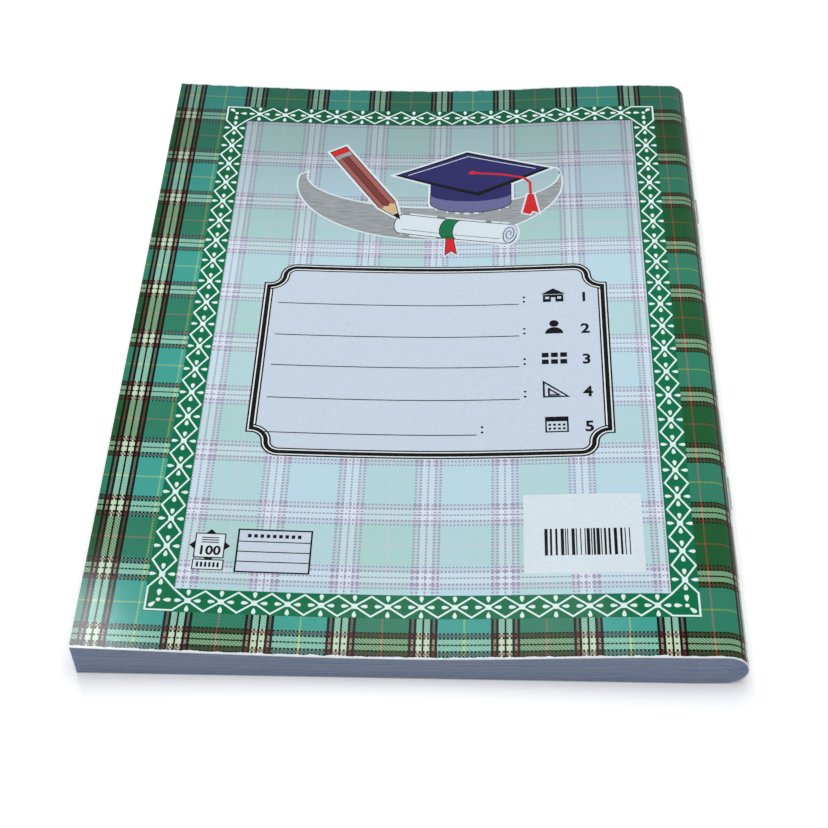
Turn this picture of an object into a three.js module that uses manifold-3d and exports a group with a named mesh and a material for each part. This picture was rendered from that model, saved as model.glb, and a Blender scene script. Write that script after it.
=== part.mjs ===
// Saddle-stitched exercise notebook, lying closed on its back cover.
// Millimetres, +X towards the spine, +Y towards the head, +Z up. The origin is the middle of the underside.
import * as THREE from "three";
import { mergeVertices } from "three/addons/utils/BufferGeometryUtils.js";
import Module from "manifold-3d";

const wasm = await Module();
wasm.setup();

// Trimmed size of the closed book
const coverWidth = 180; // fore-edge to the outside of the spine
const bookHeight = 240; // tail to head
const coverThickness = 0.32; // laminated card

// Paper: each group is a few sheets folded together, so it has as many leaves in front as behind
const leafThickness = 0.112; // one leaf with the air that it holds at the spine and the fore-edge
const pressedShare = 0.75; // share of that thickness along the line where the leaves lie closest
const liftLength = 88; // from that line to the fore-edge, over which the leaves lift again
const sheetsPerGroup = 5;
const groupCount = 10;
const groupGap = 0.03; // air between one group and the next, and between the last one and the cover
const centreGap = 0.16; // air between the two halves at the centre spread
const foldLineGap = 0.04; // between the front and back half of a fold, at the line that is stitched

// Wire staples through the fold
const wireThickness = 0.5;
const crownLength = 12; // the part that shows on the spine
const clinchLength = 4; // each bent-over end, inside the centre spread
const wireBend = 0.4; // how far a bend cuts its corner
const crownStandoff = 0.05; // air between the crown and the cover
const clinchDepth = 0.2; // the clinched ends lie this far inside the fold axis
const stapleInset = 60; // head or tail to the middle of the nearer staple
const wireClearance = 0.1; // between the wire and the paper that it pierces

// Where the stiff part of the leaves ends and the bending gutter begins
const turnClearance = 0.6; // between the staple's circle and the leaves that turn round it
const gutterSlack = 0.1; // between the leaves and their gutter strip

const foldSteps = 8; // straight steps in a quarter of the rounded spine
const pressSteps = 7; // straight steps in the dip of the leaves, on each side of its lowest line
const bendSteps = 4; // straight steps in a bend of the wire
const straightTolerance = 1e-9; // a section's corner that turns less than this, in square millimetres, is straight

// Every layer turns about one line, the fold axis, and keeps its own ring of radii round it
const halfThickness = sheetsPerGroup * leafThickness;
const ringPitch = halfThickness + groupGap;
const coverInner = centreGap / 2 + groupCount * ringPitch;
const spineRadius = coverInner + coverThickness;
const crownRadius = spineRadius + crownStandoff + wireThickness / 2;
const stapleReach = crownRadius + wireThickness / 2;
const gutterWidth = stapleReach + turnClearance;
const overallWidth = coverWidth - spineRadius + stapleReach;
const axisX = overallWidth / 2 - stapleReach;
const axisZ = spineRadius;
const foreEdge = coverWidth - spineRadius; // its distance from the fold axis
const closestLine = foreEdge - liftLength;
const stapleOffset = bookHeight / 2 - stapleInset;

const FRONT = 1;
const BACK = -1;

const cardGreen = new THREE.MeshStandardMaterial({ color: 0x1c8f6c, roughness: 0.22, metalness: 0 });
const paperWhite = new THREE.MeshStandardMaterial({ color: 0xdfe1ea, roughness: 0.85, metalness: 0 });
const stapleSteel = new THREE.MeshStandardMaterial({ color: 0xb9bcc2, roughness: 0.3, metalness: 1 });

// A closed geometry as a solid that can be cut
function toSolid(geometry) {
  const bare = geometry.clone();
  bare.deleteAttribute("normal");
  bare.deleteAttribute("uv");
  const merged = mergeVertices(bare);
  return new wasm.Manifold(
    new wasm.Mesh({
      numProp: 3,
      vertProperties: new Float32Array(merged.attributes.position.array),
      triVerts: new Uint32Array(merged.index.array),
    }),
  );
}

function toGeometry(solid) {
  const mesh = solid.getMesh();
  const geometry = new THREE.BufferGeometry();
  geometry.setAttribute("position", new THREE.BufferAttribute(mesh.vertProperties, 3));
  geometry.setIndex(new THREE.BufferAttribute(mesh.triVerts, 1));
  geometry.computeVertexNormals();
  return geometry;
}

function addPiece(parent, name, geometry, material) {
  const piece = new THREE.Mesh(geometry, material);
  piece.name = name;
  parent.add(piece);
  return piece;
}

// Points on a circle round the fold axis, from one angle to another
function arcPoints(radius, from, to) {
  const points = [];
  for (let step = 0; step <= foldSteps; step += 1) {
    const angle = from + ((to - from) * step) / foldSteps;
    points.push(new THREE.Vector2(radius * Math.cos(angle), radius * Math.sin(angle)));
  }
  return points;
}

// How far the leaves are pressed together at a distance from the fold axis: 1 at the gutter and the
// fore-edge. Towards the fore-edge they lift as a clamped strip bends, towards the spine in half a wave.
function pressAt(distance) {
  const lift = (distance - closestLine) / liftLength;
  const swell = (closestLine - distance) / (closestLine - gutterWidth);
  const dip = lift > 0 ? 1 - (lift * lift * (3 - lift)) / 2 : Math.cos((swell * Math.PI) / 2) ** 2;
  return 1 - (1 - pressedShare) * dip;
}

// Height, from the fold axis, of a boundary between layers that is so far above the axis at the spine.
// The leaves share the dip in proportion to their height, and the two covers keep their thickness.
function heightAt(distance, atSpine) {
  const inLeaves = THREE.MathUtils.clamp(atSpine, -coverInner, coverInner);
  return (inLeaves + coverInner) * pressAt(distance) - coverInner + (atSpine - inLeaves);
}

// Distances from the fold axis at which the section of a layer has a corner
function pressStations() {
  const stations = [];
  for (let step = 0; step < 2 * pressSteps; step += 1) {
    const part = (step % pressSteps) / pressSteps;
    const [from, to] = step < pressSteps ? [gutterWidth, closestLine] : [closestLine, foreEdge];
    stations.push(from + (to - from) * part);
  }
  return [...stations, foreEdge];
}

// A corner that lies on the line between its neighbours is left out
function withoutStraightPoints(points) {
  return points.filter((point, n) => {
    const before = points[(n + points.length - 1) % points.length];
    const after = points[(n + 1) % points.length];
    const turn = new THREE.Vector2().subVectors(point, before).cross(new THREE.Vector2().subVectors(after, point));
    return Math.abs(turn) > straightTolerance;
  });
}

// A closed section, seen from the tail, carried from tail to head
function alongSpine(section) {
  const layer = new THREE.ExtrudeGeometry(new THREE.Shape(section), { depth: bookHeight, bevelEnabled: false });
  layer.rotateX(Math.PI / 2);
  layer.translate(0, bookHeight / 2, 0);
  return layer;
}

// Layer from the gutter to the fore-edge, between two heights that it has at the spine
function pageLayer(side, inner, outer) {
  const boundary = (atSpine) =>
    pressStations().map((distance) => new THREE.Vector2(-distance, heightAt(distance, atSpine)));
  return alongSpine(withoutStraightPoints([...boundary(side * inner), ...boundary(side * outer).reverse()]));
}

// Boxes round the legs and the clinched ends of one staple, with clearance
function stapleReliefs(middleY) {
  const width = wireThickness + 2 * wireClearance;
  const reliefs = [];
  for (const end of [-1, 1]) {
    const legY = middleY + (end * crownLength) / 2;
    const legLength = crownRadius + clinchDepth + width;
    const leg = new THREE.BoxGeometry(legLength, width, width);
    leg.translate(legLength / 2 - clinchDepth - width / 2, legY, 0);
    const clinch = new THREE.BoxGeometry(width, clinchLength + width, width);
    clinch.translate(-clinchDepth, legY - (end * clinchLength) / 2, 0);
    reliefs.push(toSolid(leg), toSolid(clinch));
  }
  return reliefs;
}

const reliefs = [...stapleReliefs(stapleOffset), ...stapleReliefs(-stapleOffset)];

// Gutter strip and quarter of the rounded spine, which bend as the book opens
function gutterLayer(side, inner, outer) {
  const gap = foldLineGap / 2;
  const start = gutterSlack - gutterWidth;
  const section = [
    new THREE.Vector2(start, outer),
    ...arcPoints(outer, Math.PI / 2, Math.asin(gap / outer)),
    ...arcPoints(inner, Math.asin(gap / inner), Math.PI / 2),
    new THREE.Vector2(start, inner),
  ];
  for (const point of section) point.y *= side;
  const layer = toSolid(alongSpine(section));
  return toGeometry(reliefs.reduce((solid, relief) => solid.subtract(relief), layer));
}

// One half of a group or of the cover: its pages and its gutter
function addHalf(parent, pageName, gutterName, side, inner, outer, material) {
  addPiece(parent, pageName, pageLayer(side, inner, outer), material);
  addPiece(parent, gutterName, gutterLayer(side, inner, outer), material);
}

// Centre line of a staple: clinched end, leg, crown, leg, clinched end, with its bends rounded
function stapleCentreLine() {
  const half = crownLength / 2;
  const corners = [
    new THREE.Vector2(clinchLength - half, -clinchDepth),
    new THREE.Vector2(-half, -clinchDepth),
    new THREE.Vector2(-half, crownRadius),
    new THREE.Vector2(half, crownRadius),
    new THREE.Vector2(half, -clinchDepth),
    new THREE.Vector2(half - clinchLength, -clinchDepth),
  ];
  const line = [corners[0]];
  for (let n = 1; n < corners.length - 1; n += 1) {
    const corner = corners[n];
    const towards = (other) => other.clone().sub(corner).setLength(wireBend).add(corner);
    const bend = new THREE.QuadraticBezierCurve(towards(corners[n - 1]), corner, towards(corners[n + 1]));
    line.push(...bend.getPoints(bendSteps));
  }
  line.push(corners[corners.length - 1]);
  return line;
}

// Outline of the wire seen square to the staple: the centre line moved half a wire to each side
function stapleOutline() {
  const line = stapleCentreLine();
  const sides = [[], []];
  line.forEach((point, n) => {
    const along = new THREE.Vector2().subVectors(line[Math.min(n + 1, line.length - 1)], line[Math.max(n - 1, 0)]);
    const across = new THREE.Vector2(-along.y, along.x).setLength(wireThickness / 2);
    sides[0].push(point.clone().add(across));
    sides[1].push(point.clone().sub(across));
  });
  return new THREE.Shape([...sides[0], ...sides[1].reverse()]);
}

function addStaple(parent, name, middleY) {
  const wire = new THREE.ExtrudeGeometry(stapleOutline(), { depth: wireThickness, bevelEnabled: false });
  const staple = addPiece(parent, name, wire, stapleSteel);
  // Half a turn about the diagonal lays the outline's width along Y and its height along X
  staple.quaternion.setFromAxisAngle(new THREE.Vector3(1, 1, 0).normalize(), Math.PI);
  staple.position.set(0, middleY, wireThickness / 2);
}

const leafNumber = (number) => String(number).padStart(3, "0");

// Leaves are numbered from the front cover: group 1 is the innermost, at the centre spread
function leafSpan(group, side) {
  const centre = groupCount * sheetsPerGroup;
  const first = centre + 1 + (side === FRONT ? -group : group - 1) * sheetsPerGroup;
  return `${leafNumber(first)}_${leafNumber(first + sheetsPerGroup - 1)}`;
}

const notebook = new THREE.Group();
const spine = new THREE.Group();
spine.position.set(axisX, 0, axisZ);
notebook.add(spine);

addHalf(spine, "back_cover", "back_cover_spine", BACK, coverInner, spineRadius, cardGreen);
addHalf(spine, "front_cover", "front_cover_spine", FRONT, coverInner, spineRadius, cardGreen);
for (let group = 1; group <= groupCount; group += 1) {
  const inner = centreGap / 2 + (group - 1) * ringPitch;
  for (const side of [FRONT, BACK]) {
    const span = leafSpan(group, side);
    addHalf(spine, `leaves_${span}`, `gutter_${span}`, side, inner, inner + halfThickness, paperWhite);
  }
}
addStaple(spine, "staple_upper", stapleOffset);
addStaple(spine, "staple_lower", -stapleOffset);

export default notebook;
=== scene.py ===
"""Saddle-stitched exercise notebook with a tartan card cover, dressed over its CAD frame.

Lengths are in millimetres until a mesh is made. The print on the cover is laid out in its own two
coordinates: u runs from the fore-edge along the card and round the spine, v runs from the head down.
"""

import logging
import math
from dataclasses import dataclass, field
from enum import Enum

import bmesh
import bpy
import numpy as np
from mathutils import Matrix, Vector

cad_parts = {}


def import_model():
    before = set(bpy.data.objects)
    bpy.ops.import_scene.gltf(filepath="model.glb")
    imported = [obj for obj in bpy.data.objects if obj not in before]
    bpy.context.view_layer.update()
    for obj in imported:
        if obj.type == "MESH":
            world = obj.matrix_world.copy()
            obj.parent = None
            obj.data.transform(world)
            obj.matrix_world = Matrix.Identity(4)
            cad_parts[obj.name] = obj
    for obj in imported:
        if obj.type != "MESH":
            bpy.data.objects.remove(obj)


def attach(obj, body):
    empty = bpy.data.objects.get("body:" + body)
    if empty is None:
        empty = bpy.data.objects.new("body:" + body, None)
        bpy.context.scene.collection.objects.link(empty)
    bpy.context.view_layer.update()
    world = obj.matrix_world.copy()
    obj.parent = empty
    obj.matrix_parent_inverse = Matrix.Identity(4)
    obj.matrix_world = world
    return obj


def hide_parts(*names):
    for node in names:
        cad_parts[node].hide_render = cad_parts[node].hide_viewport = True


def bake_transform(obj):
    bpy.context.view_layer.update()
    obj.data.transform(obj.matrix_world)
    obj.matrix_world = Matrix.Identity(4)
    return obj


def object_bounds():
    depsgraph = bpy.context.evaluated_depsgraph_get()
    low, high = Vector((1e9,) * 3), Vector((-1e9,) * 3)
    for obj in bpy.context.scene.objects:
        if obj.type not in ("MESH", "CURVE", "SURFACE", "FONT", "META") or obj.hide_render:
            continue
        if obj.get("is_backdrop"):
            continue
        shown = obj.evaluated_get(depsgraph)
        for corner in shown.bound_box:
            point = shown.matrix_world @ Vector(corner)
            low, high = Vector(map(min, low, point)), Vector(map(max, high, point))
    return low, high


MM = 0.001
EYE_GAMMA = 2.2
Tree, Node, Socket = bpy.types.NodeTree, bpy.types.Node, bpy.types.NodeSocket
Material, Mesh, Piece = bpy.types.Material, bpy.types.Mesh, bpy.types.Object
# a colour is linear light and an alpha, and a box is the lowest and highest u, then the lowest and highest v
Colour = tuple[float, float, float, float]
Box = tuple[float, float, float, float]
Triple = tuple[float, float, float]
# a strip is its vertices, its quads and each quad's part
Strip = tuple[np.ndarray, np.ndarray, np.ndarray]
log = logging.getLogger("notebook")


# Small tools


def hex_to_linear(code: str, share: float = 1.0) -> Colour:
    """Turn an sRGB hex colour into linear light.

    Args:
        code: The colour as "#RRGGBB".
        share: How much of its light is kept.

    Returns:
        Linear red, green and blue, each at most 1, with an alpha of 1.
    """
    srgb = np.array([int(code[n : n + 2], 16) for n in (1, 3, 5)]) / 255.0
    linear = np.where(srgb <= 0.04045, srgb / 12.92, ((srgb + 0.055) / 1.055) ** 2.4)
    return (*np.minimum(linear * share, 1.0).tolist(), 1.0)


def add_node(tree: Tree, kind: str, inputs: dict | None = None, **settings) -> Node:
    """Add one shader node with its settings and its links.

    Args:
        tree: The node tree.
        kind: The node's type name, without "ShaderNode" before it.
        inputs: What each input takes, by its name or number: a value, another node's socket, or another
            node, which gives its first output in use.
        **settings: The node's own properties.

    Returns:
        The new node.
    """
    node = tree.nodes.new("ShaderNode" + kind)
    for name, value in settings.items():
        setattr(node, name, value)
    for key, value in (inputs or {}).items():
        if isinstance(value, Node):
            value = next(output for output in value.outputs if output.enabled)
        if isinstance(value, Socket):
            tree.links.new(value, node.inputs[key])
        else:
            node.inputs[key].default_value = value
    return node


def fill_ramp(ramp: bpy.types.ColorRamp, stops: list[tuple[float, Colour]], constant: bool = False) -> None:
    """Put stops into a colour ramp.

    Args:
        ramp: The colour ramp.
        stops: Positions from 0 to 1 in rising order, each with its colour.
        constant: Whether a colour holds until the next stop.
    """
    ramp.interpolation = "CONSTANT" if constant else "LINEAR"
    while len(ramp.elements) < len(stops):
        ramp.elements.new(1.0)
    for element, (position, colour) in zip(ramp.elements, stops):
        element.position = position
        element.color = colour


def grain(tree: Tree, cells: float | Triple, detail: float, roughness: float = 0.5) -> Node:
    """Noise on Object coordinates, drawn out along the axes where it has fewer cells.

    Args:
        tree: The node tree.
        cells: How many cells there are in a metre, along each axis or along all three.
        detail: How many times finer noise is added.
        roughness: How strong the finer noise is.

    Returns:
        The noise.
    """
    place = add_node(tree, "TexCoord").outputs["Object"]
    drawn = add_node(tree, "Mapping", {"Vector": place, "Scale": np.broadcast_to(cells, 3).tolist()})
    settings = {"Scale": 1.0, "Detail": detail, "Roughness": roughness}
    return add_node(tree, "TexNoise", {"Vector": drawn, **settings})


def toned(tree: Tree, noise: Node, low: Colour, high: Colour, spread: float = 0.2) -> Node:
    """Colour that runs from one tone to another as a noise rises through its middle.

    Args:
        tree: The node tree.
        noise: The noise.
        low: The colour where the noise is low.
        high: The colour where it is high.
        spread: How far on either side of 0.5 the colours lie.

    Returns:
        The colour.
    """
    ramp = add_node(tree, "ValToRGB", {"Fac": noise})
    fill_ramp(ramp.color_ramp, [(0.5 - spread, low), (0.5 + spread, high)])
    return ramp


def covered(tree: Tree, under: Node, coats: list[tuple[Node, Node | Colour]]) -> Node:
    """Cover a colour with others in turn.

    Args:
        tree: The node tree.
        under: The lowest colour.
        coats: The mask of each further colour, 1 where it covers, and the colour.

    Returns:
        The colour that shows.
    """
    for mask, colour in coats:
        under = add_node(tree, "Mix", {"Factor": mask, "A": under, "B": colour}, data_type="RGBA")
    return under


def coordinates(mesh: Mesh) -> np.ndarray:
    """Read the places of a mesh's vertices.

    Args:
        mesh: The mesh.

    Returns:
        An array of (n, 3).
    """
    places = np.zeros(len(mesh.vertices) * 3, np.float32)
    mesh.vertices.foreach_get("co", places)
    return places.reshape(-1, 3).astype(float)


def new_piece(
    name: str,
    vertices: np.ndarray,
    faces: list[list[int]],
    materials: list[Material],
    material_of_face: np.ndarray | None = None,
    print_uv: np.ndarray | None = None,
    sharp_angle: float = 35.0,
) -> Piece:
    """Make an object from arrays, at the origin, with its place in its mesh.

    Args:
        name: The piece's name.
        vertices: An array of (n, 3) in millimetres.
        faces: The vertex numbers of each face.
        materials: The materials of its slots.
        material_of_face: The slot number of each face.
        print_uv: For each vertex its u and v in millimetres, kept as the UV map "print".
        sharp_angle: Edges that turn more than this many degrees stay sharp.

    Returns:
        The object, linked to the scene.
    """
    mesh = bpy.data.meshes.new(name)
    mesh.from_pydata((vertices * MM).tolist(), [], faces)
    for material in materials:
        mesh.materials.append(material)
    if material_of_face is not None:
        mesh.polygons.foreach_set("material_index", material_of_face.astype(np.int32))
    if print_uv is not None:
        corner = np.zeros(len(mesh.loops), np.int32)
        mesh.loops.foreach_get("vertex_index", corner)
        layer = mesh.uv_layers.new(name="print")
        layer.data.foreach_set("uv", print_uv[corner].astype(np.float32).ravel())
    mesh.update()
    mesh.shade_smooth()
    mesh.set_sharp_from_angle(angle=math.radians(sharp_angle))
    piece = bpy.data.objects.new(name, mesh)
    bpy.context.scene.collection.objects.link(piece)
    return piece


# The book's shape


class Side(Enum):
    """The two halves of everything that is folded at the spine."""

    FRONT = 1
    BACK = -1

    @property
    def cover(self) -> str:
        """Name of this half's cover in the CAD."""
        return self.name.lower() + "_cover"


@dataclass(frozen=True)
class BookShape:
    """Sizes of the closed book: a stack that turns about one line inside its rounded spine."""

    height: float = 240.0
    axis_x: float = 83.425
    axis_z: float = 6.3
    fore_edge: float = 173.7
    gutter: float = 7.45
    lift_length: float = 88.0
    pressed_share: float = 0.75
    cover_inner: float = 5.98
    cover_outer: float = 6.3
    group_count: int = 10
    sheets_per_group: int = 5
    leaf: float = 0.112
    group_gap: float = 0.03
    centre_gap: float = 0.16
    fold_gap: float = 0.04
    round_inset: float = 0.18
    flat_stations: int = 64
    crowding: float = 1.3
    gutter_stations: int = 16
    arc_stations: int = 18
    slope_step: float = 0.5

    def press(self, distance: np.ndarray) -> np.ndarray:
        """Share of the thickness that is left at a distance from the fold axis.

        It is 1 at the gutter and the fore-edge. Towards the fore-edge the stack lifts as a clamped strip
        bends, and towards the spine it swells in half a cosine wave.

        Args:
            distance: Distances from the fold axis.

        Returns:
            The share at each distance.
        """
        closest = self.fore_edge - self.lift_length
        lift = (distance - closest) / self.lift_length
        swell = np.clip((closest - distance) / (closest - self.gutter), 0.0, 1.0)
        dip = np.where(lift > 0, 1 - lift**2 * (3 - lift) / 2, np.cos(swell * math.pi / 2) ** 2)
        return 1 - (1 - self.pressed_share) * dip

    def height_at(self, distance: np.ndarray, at_spine: np.ndarray) -> np.ndarray:
        """Height above the fold axis of a layer boundary.

        The leaves share the dip in proportion to their height, and the covers keep their thickness.

        Args:
            distance: Distances from the fold axis.
            at_spine: The boundary's height above the axis at the spine.

        Returns:
            Its height at each distance.
        """
        in_leaves = np.clip(at_spine, -self.cover_inner, self.cover_inner)
        pressed = (in_leaves + self.cover_inner) * self.press(distance) - self.cover_inner
        return pressed + (at_spine - in_leaves)

    def boundary(
        self,
        side: Side,
        radius: float,
        cut: float = 0.0,
        end_height: float | None = None,
        bends: bool = False,
    ) -> np.ndarray:
        """Section of one layer boundary, from the fore-edge to the fold line and round the spine.

        A line at the boundary's height over the pages, with its points closer together towards the gutter,
        then a quarter circle about the fold axis.

        Args:
            side: Which half of the fold.
            radius: The boundary's distance from the fold axis at the spine.
            cut: How much shorter than the fore-edge it is.
            end_height: How far above the axis the quarter circle stops.
            bends: Whether the line also gets points over the gutter.

        Returns:
            An array of (n, 2) of x and z in the book's frame.
        """
        share = np.linspace(1.0, 0.0, self.flat_stations) ** self.crowding
        distance = self.gutter + (self.fore_edge - cut - self.gutter) * share
        flat = np.stack([-distance, self.height_at(distance, side.value * radius)], axis=1)
        end = self.fold_gap / 2 if end_height is None else end_height
        angle = np.linspace(math.pi / 2, math.asin(min(1.0, end / radius)), self.arc_stations)
        arc = np.stack([radius * np.cos(angle), side.value * radius * np.sin(angle)], axis=1)
        across = np.linspace(self.gutter, 0.0, self.gutter_stations + 2)[1:-1]
        gutter = np.stack([-across, np.full(len(across), side.value * radius)], axis=1)
        return np.concatenate([flat, gutter, arc] if bends else [flat, arc]) + [self.axis_x, self.axis_z]

    def on_cover(self, side: Side, u: np.ndarray, v: np.ndarray, lift: np.ndarray) -> np.ndarray:
        """Place points of the print on the outside of the cover.

        A point stands off the card along its normal, which comes from the slope of the dished panel or
        from the angle round the spine.

        Args:
            side: Front or back cover.
            u: Distance from the fore-edge along the card.
            v: Distance from the head.
            lift: Distance out of the card's face.

        Returns:
            An array of (n, 3) in the book's frame.
        """
        around = np.clip((u - self.fore_edge) / self.cover_outer, 0.0, math.pi / 2)
        distance = np.maximum(self.fore_edge - u, 0.0)
        edge, step = side.value * self.cover_outer, self.slope_step
        rise = self.height_at(distance + step, edge) - self.height_at(np.maximum(distance - step, 0.0), edge)
        on_panel = distance > self.gutter
        slope = np.where(on_panel, -rise / (2 * step), 0.0)
        normal_x = np.where(around > 0, np.sin(around), -side.value * slope)
        normal_z = side.value * np.cos(around)
        size = np.hypot(normal_x, normal_z)
        height = np.where(on_panel, self.height_at(distance, edge), edge * np.cos(around))
        x = self.axis_x - distance + self.cover_outer * np.sin(around) + lift * normal_x / size
        z = self.axis_z + height + lift * normal_z / size
        return np.stack([x, self.height / 2 - v, z], axis=1)


SHAPE = BookShape()


def strip_solid(side: Side, inner: np.ndarray, outer: np.ndarray, tail: float, head: float) -> Strip:
    """Close the space between two section lines, carried straight from tail to head.

    Past the flat of the page it is a hair shorter at both ends, so that it hides in the gutter of an open
    book.

    Args:
        side: Which half of the fold, which gives the faces their turn.
        inner: Section line of (n, 2) that is nearer the fold.
        outer: Section line of (n, 2) that is farther from the fold.
        tail: The lowest y.
        head: The highest y.

    Returns:
        The vertices, the quads and for each quad its part: 0 outer face, 1 inner face, 2 cut edge.
    """
    count = len(inner)
    section = np.stack([outer, inner], axis=1)
    short = np.where(np.arange(count) < SHAPE.flat_stations, 0.0, SHAPE.round_inset)
    grid = np.zeros((count, 2, 2, 3))
    grid[..., 0] = section[:, None, :, 0]
    grid[..., 1] = np.stack([tail + short, head - short], axis=1)[:, :, None]
    grid[..., 2] = section[:, None, :, 1]
    number = np.arange(count * 4).reshape(count, 2, 2)
    near, far = number[:-1], number[1:]
    outer_face = np.stack([near[:, 0, 0], far[:, 0, 0], far[:, 1, 0], near[:, 1, 0]], axis=1)
    inner_face = np.stack([near[:, 1, 1], far[:, 1, 1], far[:, 0, 1], near[:, 0, 1]], axis=1)
    tail_face = np.stack([near[:, 0, 0], near[:, 0, 1], far[:, 0, 1], far[:, 0, 0]], axis=1)
    head_face = np.stack([far[:, 1, 0], far[:, 1, 1], near[:, 1, 1], near[:, 1, 0]], axis=1)
    first, last = number[0], number[-1]
    start_face = np.array([[first[0, 0], first[1, 0], first[1, 1], first[0, 1]]])
    end_face = np.array([[last[0, 1], last[1, 1], last[1, 0], last[0, 0]]])
    faces = np.concatenate([outer_face, inner_face, tail_face, head_face, start_face, end_face])
    part = np.full(len(faces), 2)
    part[: count - 1] = 0
    part[count - 1 : 2 * (count - 1)] = 1
    part[-1] = 1  # at the fold line the sheet runs on into its other half, so nothing is cut there
    if side is Side.BACK:
        faces = faces[:, ::-1]
    return grid.reshape(-1, 3), faces, part


# Finishes


@dataclass(frozen=True)
class Finish:
    """What a real surface is, told by the inputs of a Principled shader."""

    name: str

    def sockets(self, tree: Tree) -> dict:
        """Give the shader's inputs; each finish works out its own."""
        raise NotImplementedError

    def build(self) -> Material:
        """Make the material.

        Returns:
            The material, with the finish's shader on its output.
        """
        material = bpy.data.materials.new(self.name)
        material.use_nodes = True
        tree = material.node_tree
        tree.nodes.clear()
        shader = add_node(tree, "BsdfPrincipled", self.sockets(tree))
        add_node(tree, "OutputMaterial", {"Surface": shader})
        return material


@dataclass(frozen=True)
class Laminate:
    """Gloss film bonded to printed card: a clear smooth skin with a slow waviness from the gluing."""

    ior: float = 1.5
    specular: float = 0.1
    roughness: float = 0.1
    wave_size: float = 14.0
    wave_depth: float = 0.02

    def sockets(self, tree: Tree) -> dict:
        """Work out the gloss of a print, with the film's waves as its bump.

        Args:
            tree: The material's node tree.

        Returns:
            The Principled shader's inputs.
        """
        waves = grain(tree, 1 / (self.wave_size * MM), detail=2.0, roughness=0.4)
        bump = add_node(tree, "Bump", {"Height": waves, "Distance": self.wave_depth * MM, "Strength": 1.0})
        gloss = {"Roughness": self.roughness, "IOR": self.ior, "Specular IOR Level": self.specular}
        return {**gloss, "Normal": bump}


@dataclass(frozen=True)
class ThreadSet:
    """Colours of the tartan's threads."""

    black: str
    red: str
    cream: str
    field_a: str
    field_b: str
    line_a: str
    line_b: str


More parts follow.
